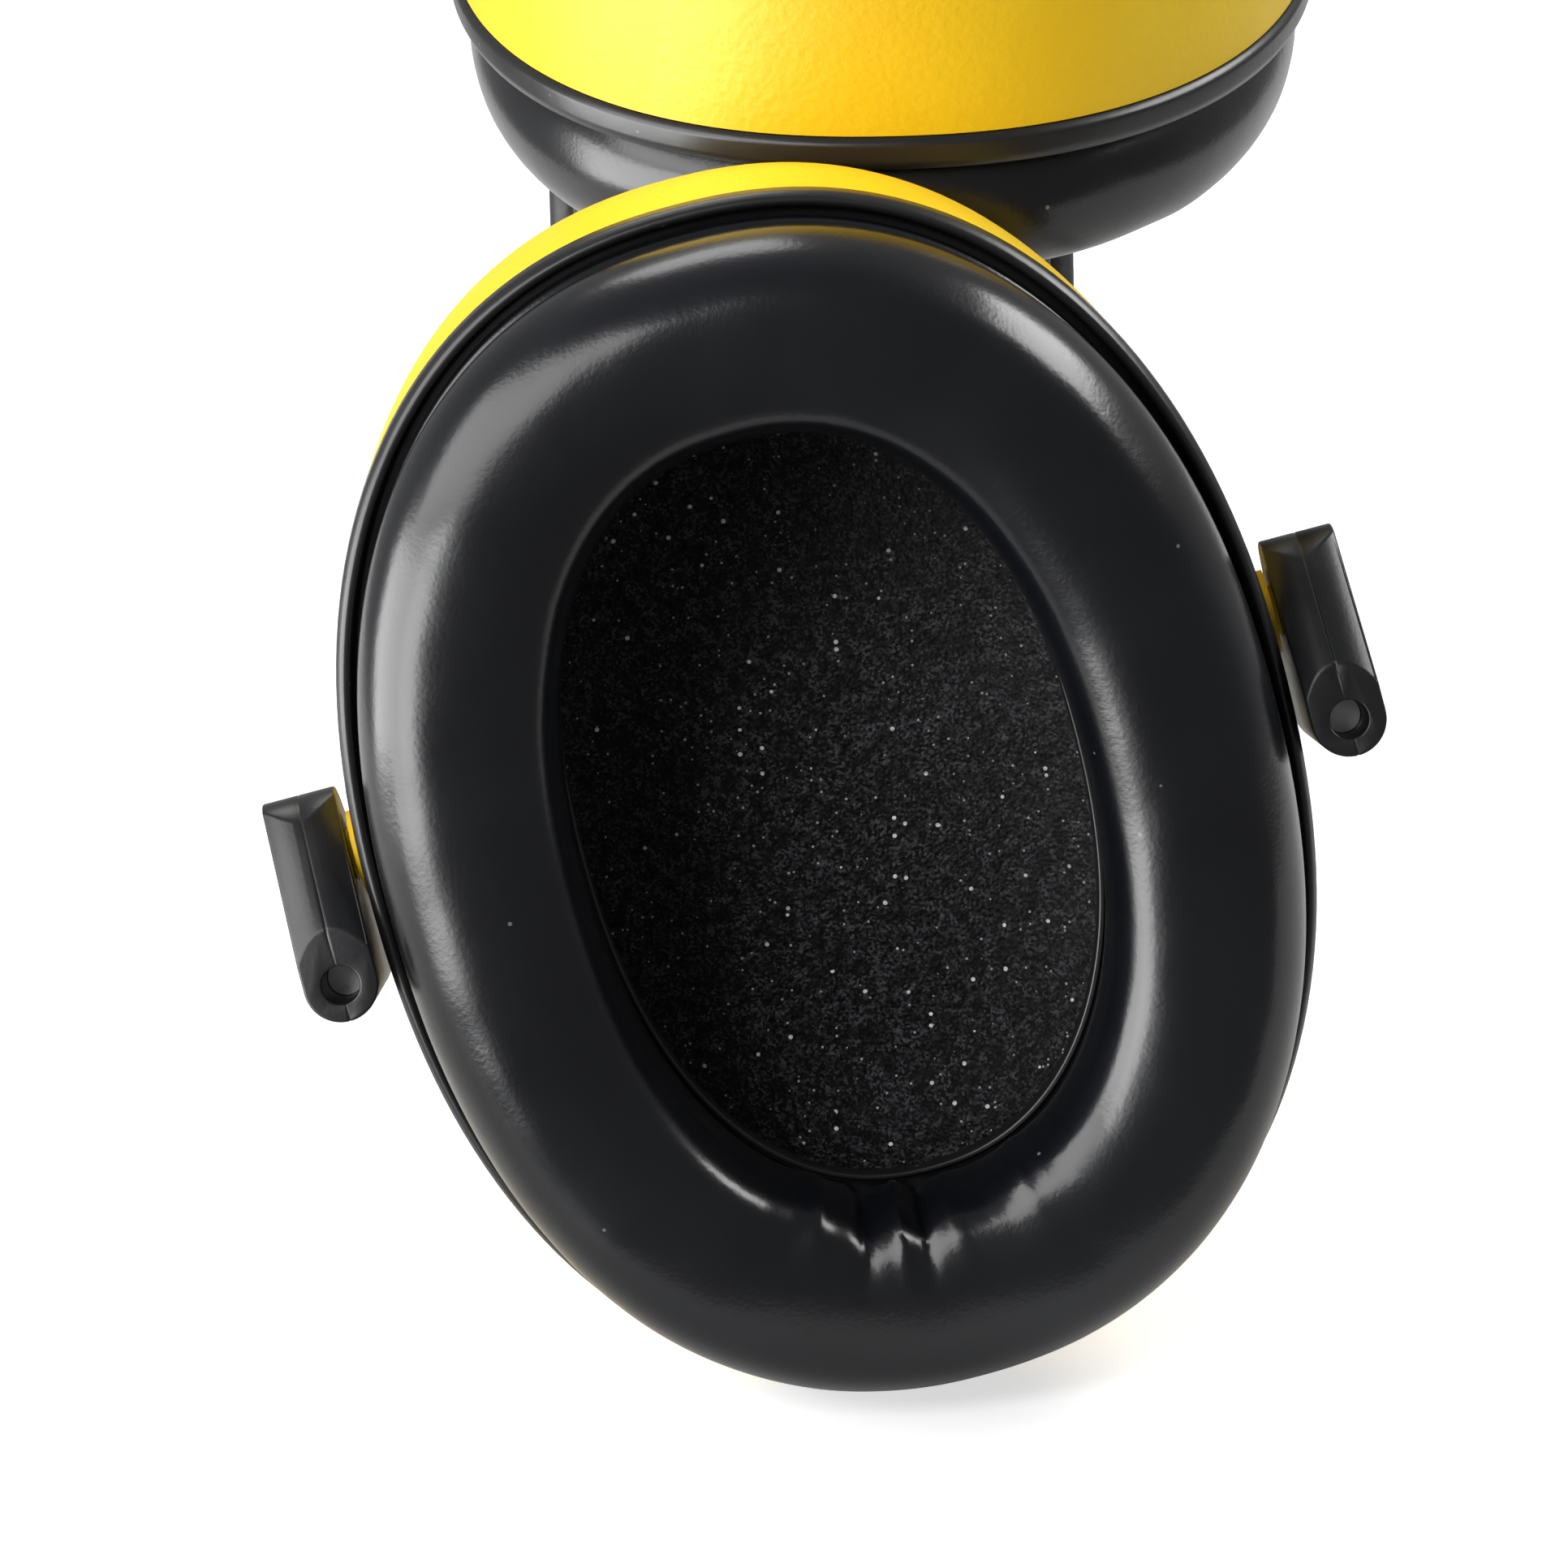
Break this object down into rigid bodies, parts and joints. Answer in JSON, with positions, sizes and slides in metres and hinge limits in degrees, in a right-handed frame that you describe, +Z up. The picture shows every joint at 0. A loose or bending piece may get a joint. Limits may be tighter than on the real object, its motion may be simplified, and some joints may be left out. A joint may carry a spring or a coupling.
{
  "type": "hearing protection earmuffs",
  "caption": "Over-ear hearing protection earmuffs with oval yellow cups, padded black cushions and a wire headband with sliding, tilting cup carriers.",
  "frame": {"origin": "middle of the laid part's box on the table", "axes": "+Y from the front cup's cushion back to the headband's crown, +Z up from the table, +X to the viewer's right"},
  "size_m": [0.1127, 0.2307, 0.154],
  "materials": {
    "yellow_shell": "satin moulded plastic with a fine grain",
    "black_ring": "satin gloss moulded plastic",
    "cushion_skin": "soft embossed vinyl with a broad sheen",
    "foam": "open-cell foam",
    "slider_plastic": "matte moulded plastic",
    "steel_wire": "drawn spring steel",
    "strap_plastic": "matte moulded strap",
    "pad_foam": "covered soft foam"
  },
  "bodies": {
    "headband": {"wire_front": "steel_wire", "wire_rear": "steel_wire", "headband_strap": "strap_plastic", "headband_pad": "pad_foam"},
    "near_sliders": {"near_block_front": "slider_plastic", "near_block_rear": "slider_plastic"},
    "near_cup": {"near_shell": "yellow_shell", "near_rim": "black_ring", "near_plate": "black_ring", "near_foam": "foam", "near_skin": "cushion_skin", "near_liner": "foam", "near_stud_front": "yellow_shell", "near_stud_rear": "yellow_shell"},
    "far_sliders": {"far_block_front": "slider_plastic", "far_block_rear": "slider_plastic"},
    "far_cup": {"far_shell": "yellow_shell", "far_rim": "black_ring", "far_plate": "black_ring", "far_foam": "foam", "far_skin": "cushion_skin", "far_liner": "foam", "far_stud_front": "yellow_shell", "far_stud_rear": "yellow_shell"}
  },
  "joints": [
    {"name": "near_height", "type": "slide", "parent": "headband", "child": "near_sliders", "axis": [0, -0.9455, 0.3256], "range_m": [0, 0.01]},
    {"name": "near_tilt", "type": "hinge", "parent": "near_sliders", "child": "near_cup", "pos_m": [-0.0045, -0.087, 0.0615], "axis": [0.9728, 0.0754, 0.2191], "range_deg": [0, 40]},
    {"name": "far_height", "type": "slide", "parent": "headband", "child": "far_sliders", "axis": [0, -0.9455, 0.3256], "range_m": [-0.01, 0]},
    {"name": "far_tilt", "type": "hinge", "parent": "far_sliders", "child": "far_cup", "pos_m": [0.0045, 0.00371, 0.12069], "axis": [1, 0, 0], "range_deg": [-35, 0]}
  ]
}
